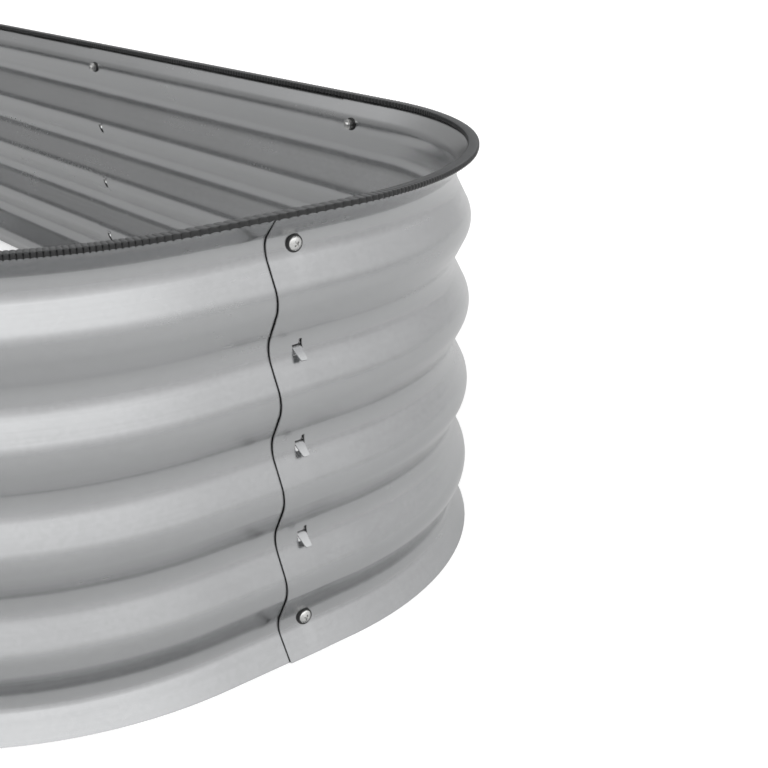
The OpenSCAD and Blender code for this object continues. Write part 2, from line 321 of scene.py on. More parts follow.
def galvanised_steel():
    finish, tree, shader = new_finish("galvanised_steel")
    sheet = add(tree, "ShaderNodeUVMap", uv_map="sheet").outputs["UV"]
    drawn_out = add(tree, "ShaderNodeMapping", {"Vector": sheet, "Scale": STREAK_SCALE}).outputs["Vector"]
    streaks = patches(tree, drawn_out, 1.0, -1, 1, detail=3)
    cloud = patches(tree, sheet, CLOUD_SCALE, -1, 1)
    frost = add(tree, "ShaderNodeTexVoronoi", {"Vector": sheet, "Scale": CRYSTAL_SCALE})
    crystal = add(tree, "ShaderNodeSeparateColor", {"Color": frost.outputs["Color"]}).outputs[0]

    def blend(middle, streak, clouded, frosted):
        """middle, moved a little by each of the three patterns."""
        value = middle - frosted / 2
        for part, weight in ((streaks, streak), (cloud, clouded), (crystal, frosted)):
            value = maths(tree, "MULTIPLY_ADD", part, weight, value)
        return value

    colour = scaled(tree, (0.42, 0.425, 0.43), blend(1.0, streak=0.012, clouded=0.02, frosted=0.03))
    tree.links.new(colour, shader.inputs["Base Color"])
    roughness = blend(0.24, streak=0.02, clouded=0.02, frosted=0.03)
    tree.links.new(roughness, shader.inputs["Roughness"])
    bump = add(tree, "ShaderNodeBump", {
        "Height": blend(0.0, streak=0.6, clouded=0.2, frosted=0.4),
        "Strength": 0.05, "Distance": STREAK_DEPTH})
    tree.links.new(bump.outputs["Normal"], shader.inputs["Normal"])
    shader.inputs["Metallic"].default_value = 1.0
    return finish


steel = galvanised_steel()
print("nodes of the galvanised steel:", len(steel.node_tree.nodes))

# %% [markdown]
# ## Rubber, bare steel and zinc
#
# Sheared edges are bare grey steel, the strip and the washers are black rubber,
# and the bolts and nuts are bright zinc. All need only a fine grain, so one
# function makes them. The strip's top is painted a little paler than its sides:
# that is painted light, for a top that faces up into the light.

# %% Make the plain finishes
# painted light: the strip's top is painted paler, reaching full strength at this height above the rim
PAINTED_TOP_HEIGHT = 0.7 * MM  # the strip is at its palest this far above the rim
ROUGHNESS_SPREAD, GRAIN_DEPTH = 0.05, 0.3 * MM


def plain_finish(name, colour, metallic, roughness, grain, bump_strength, spread=0.12, painted_top_light=1.0):
    """A finish with fine grain. Its last argument is how many times paler the colour is painted above the
    rim: painted light on a top that faces up.
    """
    finish, tree, shader = new_finish(name)
    place = add(tree, "ShaderNodeTexCoord").outputs["Object"]
    shade = patches(tree, place, grain / 6, 1 - spread, 1 + spread)
    # painted light: above the rim the colour is painted paler, as on a top lit from above
    if painted_top_light != 1.0:
        height = add(tree, "ShaderNodeSeparateXYZ", {0: place}).outputs["Z"]
        paler = add(tree, "ShaderNodeMapRange", {
            "Value": height, "From Min": WALL_HEIGHT, "From Max": WALL_HEIGHT + PAINTED_TOP_HEIGHT,
            "To Min": 1.0, "To Max": painted_top_light})
        shade = maths(tree, "MULTIPLY", shade, paler.outputs["Result"])
    fine = patches(tree, place, grain, -1, 1, detail=4)
    rough = maths(tree, "MULTIPLY_ADD", fine, ROUGHNESS_SPREAD, roughness)
    bump = add(tree, "ShaderNodeBump", {
        "Height": fine, "Strength": bump_strength, "Distance": GRAIN_DEPTH})
    tree.links.new(scaled(tree, colour, shade), shader.inputs["Base Color"])
    tree.links.new(rough, shader.inputs["Roughness"])
    tree.links.new(bump.outputs["Normal"], shader.inputs["Normal"])
    shader.inputs["Metallic"].default_value = metallic
    return finish


bare_edge = plain_finish("sheared_steel", (0.5, 0.5, 0.5), 1.0, 0.4, 900.0, 0.3)
# The strip's top is painted 5.5 times paler than its sides: painted light on the face that looks up.
strip_rubber = plain_finish("strip_rubber", (0.011, 0.0115, 0.012), 0.0, 0.42, 1400.0, 0.15, painted_top_light=5.5)
washer_rubber = plain_finish("washer_rubber", (0.016, 0.016, 0.016), 0.0, 0.5, 1400.0, 0.15)
bright_zinc = plain_finish("bright_zinc", (0.62, 0.62, 0.61), 1.0, 0.26, 1200.0, 0.08, spread=0.05)
print("finishes:", [m.name for m in (steel, bare_edge, strip_rubber, washer_rubber, bright_zinc)])

# %% [markdown]
# ## Node trees without the mouse
#
# A geometry node tree is a recipe, and a modifier runs it on an object. The
# helpers here start a tree with named inputs, finish it, and run it. Running
# bakes the result into a plain mesh, so the piece no longer needs its recipe.

# %% Helpers for geometry nodes


def new_tree(name, inputs):
    """A tree with a geometry input and the given (name, kind, value) inputs."""
    tree = bpy.data.node_groups.new(name, "GeometryNodeTree")
    tree.is_modifier = True
    tree.interface.new_socket("Geometry", in_out="INPUT", socket_type="NodeSocketGeometry")
    tree.interface.new_socket("Geometry", in_out="OUTPUT", socket_type="NodeSocketGeometry")
    for label, kind, value in inputs:
        socket = tree.interface.new_socket(label, in_out="INPUT", socket_type="NodeSocket" + kind)
        if value is not None:
            socket.default_value = value
    return tree, add(tree, "NodeGroupInput").outputs


def number_at(tree, label):
    """A per-point number that the mesh carries."""
    return add(tree, "GeometryNodeInputNamedAttribute", {"Name": label}).outputs["Attribute"]


def object_mesh(tree, target, as_curve=False):
    geometry = add(tree, "GeometryNodeObjectInfo", {"Object": target}).outputs["Geometry"]
    return add(tree, "GeometryNodeMeshToCurve", {0: geometry}).outputs[0] if as_curve else geometry


def finish_tree(tree, geometry, material, crease=math.radians(30)):
    """Smooth shading with crisp edges, real geometry for instances, a material."""
    real = add(tree, "GeometryNodeRealizeInstances", {0: geometry}).outputs[0]
    smooth = add(tree, "GeometryNodeSetShadeSmooth", {
        0: real, "Shade Smooth": True}, domain="FACE").outputs[0]
    angle = add(tree, "GeometryNodeInputMeshEdgeAngle").outputs["Unsigned Angle"]
    sharp = add(tree, "FunctionNodeCompare", {0: angle, 1: crease}, operation="GREATER_THAN").outputs[0]
    crisp = add(tree, "GeometryNodeSetShadeSmooth", {
        0: smooth, 1: sharp, "Shade Smooth": False}, domain="EDGE").outputs[0]
    return add(tree, "GeometryNodeSetMaterial", {0: crisp, "Material": material}).outputs[0]


def close_tree(tree, geometry):
    add(tree, "NodeGroupOutput", {0: geometry})
    return tree


def run_tree(tree, source, name, values):
    """Runs a tree on a scratch object and returns its result as a plain piece."""
    recipe = source.modifiers.new("recipe", "NODES")
    recipe.node_group = tree
    for item in tree.interface.items_tree:
        if item.in_out == "INPUT" and item.name in values:
            recipe[item.identifier] = values[item.name]
    baked = source.evaluated_get(bpy.context.evaluated_depsgraph_get())
    mesh = bpy.data.meshes.new_from_object(baked)
    source.modifiers.remove(recipe)
    mesh.name = name
    piece = bpy.data.objects.new(name, mesh)
    scene.collection.objects.link(piece)
    return piece


def settle(piece, slot, *nodes):
    """Hangs the piece on the frame's root, hides the CAD nodes that it stands for, and reports its size.
    """
    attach(piece, "root")
    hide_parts(*nodes)
    low = [round(min(v.co[i] for v in piece.data.vertices), 4) for i in range(3)]
    high = [round(max(v.co[i] for v in piece.data.vertices), 4) for i in range(3)]
    print(piece.name, "faces:", len(piece.data.polygons), "box:", low, high)


# %% [markdown]
# ## The hooked tongue
#
# Three tongues at the end of each panel hook through slots in the next one, so
# the lap can't slide apart while the bolts go in. A tongue is cut from the sheet
# and pressed outwards through its slot, and a narrow slit stays open above its
# root. The path below is the middle of the metal: from the back of the sheet,
# round a tight bend, and then out and down to a narrower, rounded tip. A bend
# modifier could curl a flat strip, but a path also sets the width at each step.

# %% Shape one tongue
TONGUE_WIDTH, TIP_WIDTH, TIP_RADIUS = 7.2 * MM, 4.6 * MM, 0.8 * MM
TONGUE_OUT, TONGUE_DROP, TONGUE_CURL = 9.3 * MM, 7.1 * MM, 0.2 * MM
TONGUE_COLUMNS = 7


def tongue_mesh():
    """A bent strip with thickness: X points out of the wall and Z up."""
    fall = Vector((TONGUE_OUT, -TONGUE_DROP))
    reach = fall.length
    fall.normalize()
    # (out, up) from the middle of the lap, at the height of the root
    path = [Vector(p) * MM for p in ((-1.15, 2.6), (-1.15, 1.9), (-1.1, 1.2), (-0.9, 0.8))]
    start = Vector((-0.45, 0.5)) * MM
    for share in (0.0, 0.1, 0.25, 0.5, 0.75, 0.86, 0.93, 0.975, 1.0):
        curl = TONGUE_CURL * share ** 3
        path.append(start + fall * reach * share + Vector((-fall.y, fall.x)) * -curl)
    points, rows = [], len(path)
    across = [n / (TONGUE_COLUMNS - 1) - 0.5 for n in range(TONGUE_COLUMNS)]
    for n, middle in enumerate(path):
        ahead = path[min(n + 1, rows - 1)] - path[max(n - 1, 0)]
        face = Vector((-ahead.y, ahead.x)).normalized() * SHEET / 2
        short = max(0, TIP_RADIUS - (path[-1] - middle).length)  # how far into the tip's rounding
        inset = TIP_RADIUS - math.sqrt(max(0, TIP_RADIUS ** 2 - short ** 2))
        taper = max(0, (middle - start).dot(fall)) / reach
        width = TONGUE_WIDTH + taper * (TIP_WIDTH - TONGUE_WIDTH) - 2 * inset
        for side in (face, -face):
            points += [(middle.x + side.x, width * a, middle.y + side.y) for a in across]
    count, faces = len(across), []
    for n in range(rows - 1):
        near, far = 2 * count * n, 2 * count * (n + 1)
        for i in range(count - 1):
            faces.append((near + i, near + i + 1, far + i + 1, far + i))
            faces.append((near + count + i + 1, near + count + i, far + count + i, far + count + i + 1))
        faces.append((near + count, near, far, far + count))
        faces.append((near + count - 1, near + 2 * count - 1, far + 2 * count - 1, far + count - 1))
    last = 2 * count * (rows - 1)
    for i in range(count - 1):
        faces.append((i + 1, i, count + i, count + i + 1))
        faces.append((last + i, last + i + 1, last + count + i + 1, last + count + i))
    return points, faces


tongue_points, tongue_faces = tongue_mesh()
tongue = mesh_object("tongue", tongue_points, (), tongue_faces)
scratch.append(tongue)
print("tongue faces:", len(tongue.data.polygons))

# %% [markdown]
# ## The flat blank
#
# A panel starts life as a flat sheet, punched before it is formed. The blank
# here is a grid whose lines follow every cut: its X is the station along the
# wall, its Y the thickness and its Z the distance across the flat sheet. Cells
# inside a slot are left out, and the cells round a bolt hole are pulled on to a
# circle. Because the lines run round the cuts, the formed sheet shades smoothly
# right up to them, which a boolean cut in a curved sheet would not. Between its
# bolts the outer sheet of a lap springs a little way off the inner one.

# %% Sizes of the cuts
SLOT_HALF, SLOT_BOTTOM = TONGUE_WIDTH / 2 + 0.2 * MM, 4.6 * MM
# A lance is the hole that a tongue leaves in its own sheet.
LANCE_HALF, LANCE_TIP = TONGUE_WIDTH / 2 + 0.1 * MM, TIP_WIDTH / 2 + 0.1 * MM
LANCE_TOP, LANCE_BOTTOM, LANCE_EASE = -1.9 * MM, 9.2 * MM, 6 * MM
SPRING = 0.6 * MM  # how far the outer sheet of a lap springs away between its bolts
SPRING_REACH, SPRING_CLEAR, SPRING_EASE = 11 * MM, 4 * MM, 8 * MM
HOLE_RADIUS, HOLE_SIDE = 3 * MM, 2.1 * MM  # a hole starts as a square of grid cells
HOLE_GRID = [d * MM for d in (-4.5, -2.1, -1.05, 0, 1.05, 2.1, 4.5)]
TURN_STEP, LINE_GAP, ON_LINE = math.radians(2.5), 0.9 * MM, 0.01 * MM


def grid_lines(kept, filler):
    """Sorted lines: every kept one, and fillers that stay clear of them."""
    kept = sorted(set(round(v, 6) for v in kept))
    return sorted(kept + [v for v in filler if min(abs(v - k) for k in kept) > LINE_GAP])


print("widest lance:", 2 * LANCE_HALF, "m, bolt hole:", 2 * HOLE_RADIUS, "m")

# %% Punch a blank


def punched_blank(k, slips):
    """The flat sheet of panel k. slips moves the cuts of its two laps along."""
    first, last = seam(k) - LAP_EDGE, seam(k + 1) + LAP - LAP_EDGE
    laps = [seam(k) - slips[0], seam(k + 1) - slips[1]]
    tops = [unrolled(z + ROOT_DROP + SLOT_RISE) for z in ROOT_HEIGHTS]
    slots = [(laps[0], SLOT_HALF, unrolled(z - SLOT_BOTTOM), top) for z, top in zip(ROOT_HEIGHTS, tops)]
    lances = [
        (laps[1], LANCE_HALF, unrolled(z - LANCE_BOTTOM), unrolled(z - LANCE_TOP)) for z in ROOT_HEIGHTS]
    bolts = [(lap, unrolled(z)) for lap in laps for z in BOLT_HEIGHTS]
    cuts = slots + lances

    steps = round((last - first) / (TURN_STEP * CORNER_RADIUS))
    columns = grid_lines(
        [first, last] + [lap + d for lap in laps for d in HOLE_GRID]
        + [laps[0] + SLOT_HALF, laps[0] - SLOT_HALF, laps[1] + LANCE_HALF, laps[1] - LANCE_HALF],
        [first + (last - first) * n / steps for n in range(steps + 1)])
    rows = grid_lines(
        [0, ROLLED_OUT[-1]] + [c[2] for c in cuts] + [c[3] for c in cuts]
        + [unrolled(z) + d for z in BOLT_HEIGHTS for d in HOLE_GRID],
        ROLLED_OUT + [c[2] - d for c in lances for d in (2 * MM, 4 * MM)])

    def is_cut(x, z):
        inside = any(abs(x - lap) < half and low < z < high for lap, half, low, high in cuts)
        return inside or any(max(abs(x - bx), abs(z - bz)) < HOLE_SIDE - ON_LINE for bx, bz in bolts)

    def on_cut(x, z):
        """Moves the rim of a bolt hole on to its circle, and narrows a lance to its tip."""
        for bx, bz in bolts:
            if abs(max(abs(x - bx), abs(z - bz)) - HOLE_SIDE) < ON_LINE:
                size = math.hypot(x - bx, z - bz)
                return bx + (x - bx) * HOLE_RADIUS / size, bz + (z - bz) * HOLE_RADIUS / size
        for lap, half, low, high in lances:
            if abs(x - lap) < half + ON_LINE and low - LANCE_EASE < z < high:
                share = (high - z) / (high - low) if z > low else (z - low + LANCE_EASE) / LANCE_EASE
                return lap + (x - lap) * (1 - share * (1 - LANCE_TIP / LANCE_HALF)), z
        return x, z

    def spring(x, z):
        """How far the outer sheet stands away: nothing at the bolts, the rim and the lap's end."""
        nearest = min(math.hypot(x - bx, z - bz) for bx, bz in bolts[:2])
        end = min(1, max(0, (first + LAP - x) / (LAP - LAP_EDGE)))
        rim = min(1, max(0, (ROLLED_OUT[-1] - SPRING_CLEAR - z) / SPRING_EASE))
        ease = [v * v * (3 - 2 * v) for v in (end, rim)]
        return SPRING * (1 - math.exp(-(nearest / SPRING_REACH) ** 2)) * ease[0] * ease[1]

    points = []
    for through in (0, -SHEET):
        for z in rows:
            for x in columns:
                px, pz = on_cut(x, z)
                points.append((px, through + spring(x, z), pz))
    wide, layer = len(columns), len(columns) * len(rows)
    faces, border = [], {}
    for j in range(len(rows) - 1):
        for i in range(wide - 1):
            if is_cut((columns[i] + columns[i + 1]) / 2, (rows[j] + rows[j + 1]) / 2):
                continue
            a, b = j * wide + i, j * wide + i + 1
            c, d = b + wide, a + wide
            faces += [(b, a, d, c), (layer + a, layer + b, layer + c, layer + d)]
            for edge in ((a, b), (b, c), (c, d), (d, a)):
                border[edge] = border.get(edge, 0) + 1
    sides = [(a, b, layer + b, layer + a) for a, b in border if (b, a) not in border]
    name = f"blank_{k:02d}"
    blank = mesh_object(name, points, (), faces + sides)
    scratch.append(blank)
    blank.data.attributes.new("sheared", "FLOAT", "FACE").data.foreach_set(
        "value", [0.0] * len(faces) + [1.0] * len(sides))
    flat = blank.data.uv_layers.new(name="sheet").data
    for loop in blank.data.loops:
        x, _, z = blank.data.vertices[loop.vertex_index].co
        flat[loop.index].uv = (x, z)
    return blank


# %% [markdown]
# ## Forming the panels
#
# The tree bends a blank in two steps, as the factory does. First each point
# slides along the rib profile by its distance across the sheet, which gives a
# depth and a height. Then it slides along the plan by its station, and moves
# out of the wall by that depth. Sample Curve does both, and unlike a Curve
# modifier it measures true lengths, so nothing stretches. The tongues are placed
# on the three root points, and everything becomes one piece.

# %% Build the forming tree


def forming_tree():
    tree, given = new_tree("form_a_panel", [
        ("Rib line", "Object", None), ("Plan line", "Object", None), ("Plan start", "Float", 0.0),
        ("Tongue", "Object", None), ("Tongue roots", "Object", None),
        ("Face", "Material", None), ("Edge", "Material", None)])
    where = add(tree, "GeometryNodeInputPosition").outputs[0]
    flat = add(tree, "ShaderNodeSeparateXYZ", {0: where}).outputs
    ribs = add(tree, "GeometryNodeSampleCurve", {
        "Curves": object_mesh(tree, given["Rib line"], True), "Length": flat["Z"]}, mode="LENGTH")
    rib = add(tree, "ShaderNodeSeparateXYZ", {0: ribs.outputs["Position"]}).outputs
    travelled = maths(tree, "SUBTRACT", flat["X"], given["Plan start"])
    plan = add(tree, "GeometryNodeSampleCurve", {
        "Curves": object_mesh(tree, given["Plan line"], True), "Length": travelled}, mode="LENGTH")
    out = vector_maths(tree, "CROSS_PRODUCT", plan.outputs["Tangent"], (0, 0, 1))
    outwards = scaled(tree, out, maths(tree, "ADD", rib["X"], flat["Y"]))
    upwards = add(tree, "ShaderNodeCombineXYZ", {"Z": rib["Z"]}).outputs[0]
    moved = vector_maths(tree, "ADD", plan.outputs["Position"], outwards)
    place = vector_maths(tree, "ADD", moved, upwards)
    formed = add(tree, "GeometryNodeSetPosition", {0: given["Geometry"], "Position": place}).outputs[0]
    turn = add(tree, "ShaderNodeCombineXYZ", {"Z": number_at(tree, "facing")}).outputs[0]
    tongues = add(tree, "GeometryNodeInstanceOnPoints", {
        "Points": object_mesh(tree, given["Tongue roots"]), "Instance": object_mesh(tree, given["Tongue"]),
        "Rotation": turn}).outputs[0]
    both = add(tree, "GeometryNodeJoinGeometry", {0: formed})
    tree.links.new(tongues, both.inputs[0])
    faced = finish_tree(tree, both.outputs[0], given["Face"])
    edged = add(tree, "GeometryNodeSetMaterial", {
        0: faced, 1: number_at(tree, "sheared"), "Material": given["Edge"]}).outputs[0]
    return close_tree(tree, edged)


form = forming_tree()
print("nodes of the forming tree:", len(form.nodes))

# %% [markdown]
# Twelve laps close the ring because each panel leans: it starts one sheet outside
# its neighbour and ends one sheet inside the next. A straight panel turns a
# fraction of a degree, and a corner panel shifts by less than a millimetre.

# %% Form the twelve panels


def lean(k):
    """How panel k's plan line moves: a function from a point to a point."""
    (p0, n0, _, a0), (p1, n1, _, a1) = spot(seam(k)), spot(seam(k + 1))
    if abs((a1 - a0 + math.pi) % math.tau - math.pi) > math.pi / 4:
        shift = LAYER_STEP / 2 / (1 - n0.dot(n1)) * (n0 - n1)
        return lambda p: p + shift
    middle, angle = (p0 + p1) / 2, LAYER_STEP / PANEL
    c, s = math.cos(angle), math.sin(angle)

    def turned(p):
        x, y, _ = p - middle
        return middle + Vector((c * x - s * y, s * x + c * y, 0))
    return turned


def fine_stations(start, end, step=3 * MM):
    count = math.ceil((end - start) / step)
    return [start + (end - start) * n / count for n in range(count + 1)]


PLAN_SPARE = 5 * MM  # the plan line runs this far past both ends of its panel
rib_line = guide_line("rib_line", [(d, 0, z) for d, z in FACE])
panel_names = (
    ["corner_panel_1"] + [f"side_panel_{n}" for n in (1, 2, 3, 4)] + ["corner_panel_2"]
    + ["corner_panel_3"] + [f"side_panel_{n}" for n in (5, 6, 7, 8)] + ["corner_panel_4"])

for k, node_name in enumerate(panel_names):
    leaned = lean(k)
    plan_start = seam(k) - LAP_EDGE - PLAN_SPARE
    stations = fine_stations(plan_start, seam(k + 1) + LAP - LAP_EDGE + PLAN_SPARE)
    plan_line = guide_line(f"plan_line_{k:02d}", [leaned(spot(s)[0]) for s in stations])
    slips = []
    for station in (seam(k), seam(k + 1)):
        point, _, along, _ = spot(station)
        slips.append((leaned(point) - point).dot(along))
    blank = punched_blank(k, slips)
    point, out, _, angle = spot(seam(k + 1))
    roots = [point + out * (face_depth(z) - LAYER_STEP / 2) + Vector((0, 0, z)) for z in ROOT_HEIGHTS]
    root_points = mesh_object(f"roots_{k:02d}", roots, numbers={"facing": [angle] * len(roots)})
    scratch.append(root_points)
    panel = run_tree(form, blank, "formed_" + node_name, {
        "Rib line": rib_line, "Plan line": plan_line, "Plan start": plan_start,
        "Tongue": tongue, "Tongue roots": root_points, "Face": steel, "Edge": bare_edge})
    settle(panel, "galvanised_sheet", node_name)

# %% [markdown]
# ## The ribbed rubber strip
#
# The strip is a soft channel pushed over the rim. Narrow cuts across it let it
# bend round the corners, where the pieces between the cuts press together and
# sit closer than on the straight runs. Curve to Mesh sweeps the channel's
# outline along the plan. Each point of the plan says how far its rib swells, and
# each point of the outline says how much it takes part.

# %% Lay out the ribs along the rim
STRIP_WIDTH, STRIP_TOP, STRIP_GRIP, STRIP_SLOT = 8.4 * MM, 0.6 * MM, 3.4 * MM, 2.05 * MM
STRIP_JOINT = 1 * MM
RIB_ON_TURN, RIB_AT_END, RIB_ON_SIDE = 3.3 * MM, 6.7 * MM, 4.55 * MM  # rib lengths
END_REACH, SIDE_FROM, SIDE_EASE = 75 * MM, 330 * MM, 130 * MM  # from the end's middle
RIB_SHAPE = ((0, 0.0), (0.18, 0.74), (0.5, 1.0), (0.82, 0.74))  # (share of a rib, swell)


def rib_length(station):
    """Length of one rib of the strip: long at the ends' middles, short on turns."""
    off = abs((station + RING / 4) % (RING / 2) - RING / 4)
    at_end = math.exp(-(off / END_REACH) ** 4)
    on_side = min(1, max(0, (off - SIDE_FROM) / SIDE_EASE))
    return (RIB_ON_TURN + (RIB_AT_END - RIB_ON_TURN) * at_end
            + (RIB_ON_SIDE - RIB_ON_TURN) * on_side)


start, length = RING / 2 + STRIP_JOINT / 2, RING - STRIP_JOINT
cuts = [0.0]
while cuts[-1] < length:
    cuts.append(cuts[-1] + rib_length(start + cuts[-1]))
cuts = [start + c * length / cuts[-1] for c in cuts]

rim_points, swell = [], []
for near, far in zip(cuts, cuts[1:]):
    for share, swollen in RIB_SHAPE:
        rim_points.append(spot(near + share * (far - near))[0] + Vector((0, 0, WALL_HEIGHT)))
        swell.append(swollen)
rim_points.append(spot(cuts[-1])[0] + Vector((0, 0, WALL_HEIGHT)))
swell.append(0.0)
rim_line = guide_line("rim_line", rim_points, numbers={"swell": swell})
print("ribs on the strip:", len(cuts) - 1)

# %% [markdown]
# Cut through, the strip is a U upside down: two cheeks that grip the sheet, with
# round shoulders. A list of points does as well as a drawn curve and keeps its
# sizes in view. The cuts go deepest into the cheeks, and the lower edge arches a
# little under each rib.

# %% Draw the strip's outline
SHOULDER, FOOT_INSET, FOOT_RISE = 1.1 * MM, 0.3 * MM, 0.4 * MM
SLOT_TOP = 0.05 * MM  # above the sheet's edge
strip_middle, strip_half = RIM_OUT - SHEET / 2, STRIP_WIDTH / 2


def strip_outline():
    """(out of the middle, above the rim, takes part in ribs, arches) for each point."""
    outer = [
        (strip_half - FOOT_INSET, -STRIP_GRIP, 0.0, 1.0),
        (strip_half, -STRIP_GRIP + FOOT_RISE, 0.6, 1.0)]
    for degrees, ribbed in ((0, 1.0), (30, 1.0), (60, 0.7), (90, 0.4)):
        a = math.radians(degrees)
        x, z = strip_half + SHOULDER * (math.cos(a) - 1), STRIP_TOP + SHOULDER * (math.sin(a) - 1)
        outer.append((x, z, ribbed, 0.0))
    inner = [(-x, z, ribbed, arched) for x, z, ribbed, arched in reversed(outer)]
    side = STRIP_SLOT / 2
    slot = [(-side, -STRIP_GRIP), (-side, SLOT_TOP), (side, SLOT_TOP), (side, -STRIP_GRIP)]
    return list(reversed(outer + inner + [(x, z, 0.0, 0.0) for x, z in slot]))


outline = strip_outline()
# With its normals kept level, Curve to Mesh turns an outline's Y downwards.
strip_section = guide_line(
    "strip_section", [(strip_middle + x, -z, 0) for x, z, _, _ in outline], closed=True,
    numbers={"ribbed": [p[2] for p in outline], "arched": [p[3] for p in outline]})
print("points of the strip's outline:", len(outline))

# %% [markdown]
# A boolean for each of more than a thousand cuts would be slow and leave ragged
# faces. The swept mesh is moved instead: between two ribs its points sink along
# their normals.

# %% Sweep the strip


def strip_tree():
    tree, given = new_tree("sweep_a_ribbed_strip", [
        ("Outline", "Object", None), ("Cut depth", "Float", 1.2 * MM), ("Arch", "Float", 0.8 * MM),
        ("Material", "Material", None)])
    path = add(tree, "GeometryNodeMeshToCurve", {0: given["Geometry"]}).outputs[0]
    level = add(tree, "GeometryNodeSetCurveNormal", {0: path}, mode="Z_UP").outputs[0]
    swept = add(tree, "GeometryNodeCurveToMesh", {
        "Curve": level, "Profile Curve": object_mesh(tree, given["Outline"], True),
        "Fill Caps": True}).outputs[0]
    swell = number_at(tree, "swell")
    share = maths(tree, "MULTIPLY", maths(tree, "SUBTRACT", swell, 1.0), number_at(tree, "ribbed"))
    inwards = maths(tree, "MULTIPLY", share, given["Cut depth"])
    push = scaled(tree, add(tree, "GeometryNodeInputNormal").outputs[0], inwards)
    raised = maths(tree, "MULTIPLY", swell, number_at(tree, "arched"))
    lift = add(tree, "ShaderNodeCombineXYZ", {
        "Z": maths(tree, "MULTIPLY", raised, given["Arch"])}).outputs[0]
    moved = vector_maths(tree, "ADD", push, lift)
    ribbed = add(tree, "GeometryNodeSetPosition", {0: swept, "Offset": moved}).outputs[0]
    return close_tree(tree, finish_tree(tree, ribbed, given["Material"], math.radians(38)))


strip = run_tree(strip_tree(), rim_line, "ribbed_edge_strip", {
    "Outline": strip_section, "Material": strip_rubber})
settle(strip, "trim_rubber", "edge_trim")

# %% [markdown]
# ## Bolts, washers and nuts
#
# Small turned parts are easiest to make as a profile spun round an axis. Each
# template lies along X, which points out of the wall, with its depths measured
# from the crests. The Spin tool does this by hand; a function can also change
# the radius with the angle, which threads and hexagons need.

# %% Spin a profile round X


def spun(name, rings, sides, closed=False):
    """rings are functions from an angle to (depth, radius). Ends close to a point."""
    points, faces = [], []
    for ring in rings:
        for i in range(sides):
            a = math.tau * i / sides
            depth, radius = ring(a)
            points.append((depth, radius * math.cos(a), radius * math.sin(a)))
    count = len(rings)
    for j in range(count if closed else count - 1):
        for i in range(sides):
            near, far, i2 = j * sides, (j + 1) % count * sides, (i + 1) % sides
            faces.append((near + i, near + i2, far + i2, far + i))
    if not closed:
        for j, turned in ((0, -1), (count - 1, 1)):
            points.append((rings[j](0)[0], 0, 0))
            for i in range(sides):
                pair = (j * sides + i, j * sides + (i + 1) % sides)
                faces.append((len(points) - 1,) + pair[::turned])
    made = mesh_object(name, points, (), faces)
    scratch.append(made)
    return made


def ring(depth, radius):
    """The same depth and radius at every angle."""
    return lambda a: (depth, radius)


# %% Sizes of the fasteners
SEAT_GAP = 0.05 * MM
WASHER_RADIUS, WASHER_BORE, WASHER_THICK = 5.5 * MM, 2.55 * MM, 1.75 * MM
WASHER_FRONT = -RIB_DEPTH + LAYER_STEP / 2 + WASHER_THICK
INNER_WASHER, NUT_HEIGHT, TIP_LENGTH = 0.9 * MM, 4 * MM, 1.8 * MM
NUT_SEAT = -RIB_DEPTH - LAYER_STEP / 2 - SHEET - SEAT_GAP - INNER_WASHER
NUT_END = NUT_SEAT - NUT_HEIGHT
BOLT_TIP = NUT_END - TIP_LENGTH
BOLT_RADIUS, HEAD_RADIUS, HEAD_HEIGHT = 2.5 * MM, 4.6 * MM, 2.4 * MM
HEAD_SEAT = WASHER_FRONT - 0.5 * MM  # the head presses into its washer
print("clamped between", round(NUT_SEAT, 5), "and", round(HEAD_SEAT, 5), "m")

# %% [markdown]
# The bolt has a domed head with a tapered cross recess and a thread at its tip.
# A swept helix would be heavy and mostly hidden by the nut, so the rings near
# the tip carry a ridge that climbs as it goes round. One boolean cuts the cross.

# %% Turn the bolt
THREAD_PITCH, THREAD_DEPTH, THREAD_RINGS = 0.8 * MM, 0.42 * MM, 20
SHANK_RADIUS = BOLT_RADIUS - 0.05 * MM


def thread_ring(depth):
    """One ring of a screw thread: its ridge climbs once round per pitch."""
    def at(a):
        phase = (depth / THREAD_PITCH + a / math.tau) % 1
        return depth, BOLT_RADIUS - THREAD_DEPTH * abs(2 * phase - 1)
    return at


def bolt_rings():
    """From the tip, along the thread and the shank, over the edge of the domed head."""
    rings = [ring(BOLT_TIP, BOLT_RADIUS - 0.7 * MM), ring(BOLT_TIP + 0.35 * MM, BOLT_RADIUS - 0.35 * MM)]
    rings += [thread_ring(BOLT_TIP + (0.4 + 0.1 * n) * MM) for n in range(THREAD_RINGS)]
    rings += [ring(NUT_END + 0.8 * MM, SHANK_RADIUS), ring(HEAD_SEAT, SHANK_RADIUS)]
    rings += [ring(HEAD_SEAT, HEAD_RADIUS - 0.15 * MM), ring(HEAD_SEAT + 0.12 * MM, HEAD_RADIUS)]
    edge = HEAD_HEIGHT / 4
    dome = HEAD_HEIGHT - edge
    dome_radius = (HEAD_RADIUS ** 2 + dome ** 2) / (2 * dome)
    widest = math.asin(HEAD_RADIUS / dome_radius)
    rings += [ring(HEAD_SEAT + edge - 0.2 * MM, HEAD_RADIUS)]
    for share in (0.94, 0.8, 0.6, 0.4, 0.2, 0.07):
        a = widest * share
        sunk = dome_radius * (1 - math.cos(a))
        rings.append(ring(HEAD_SEAT + HEAD_HEIGHT - sunk, dome_radius * math.sin(a)))
    return rings


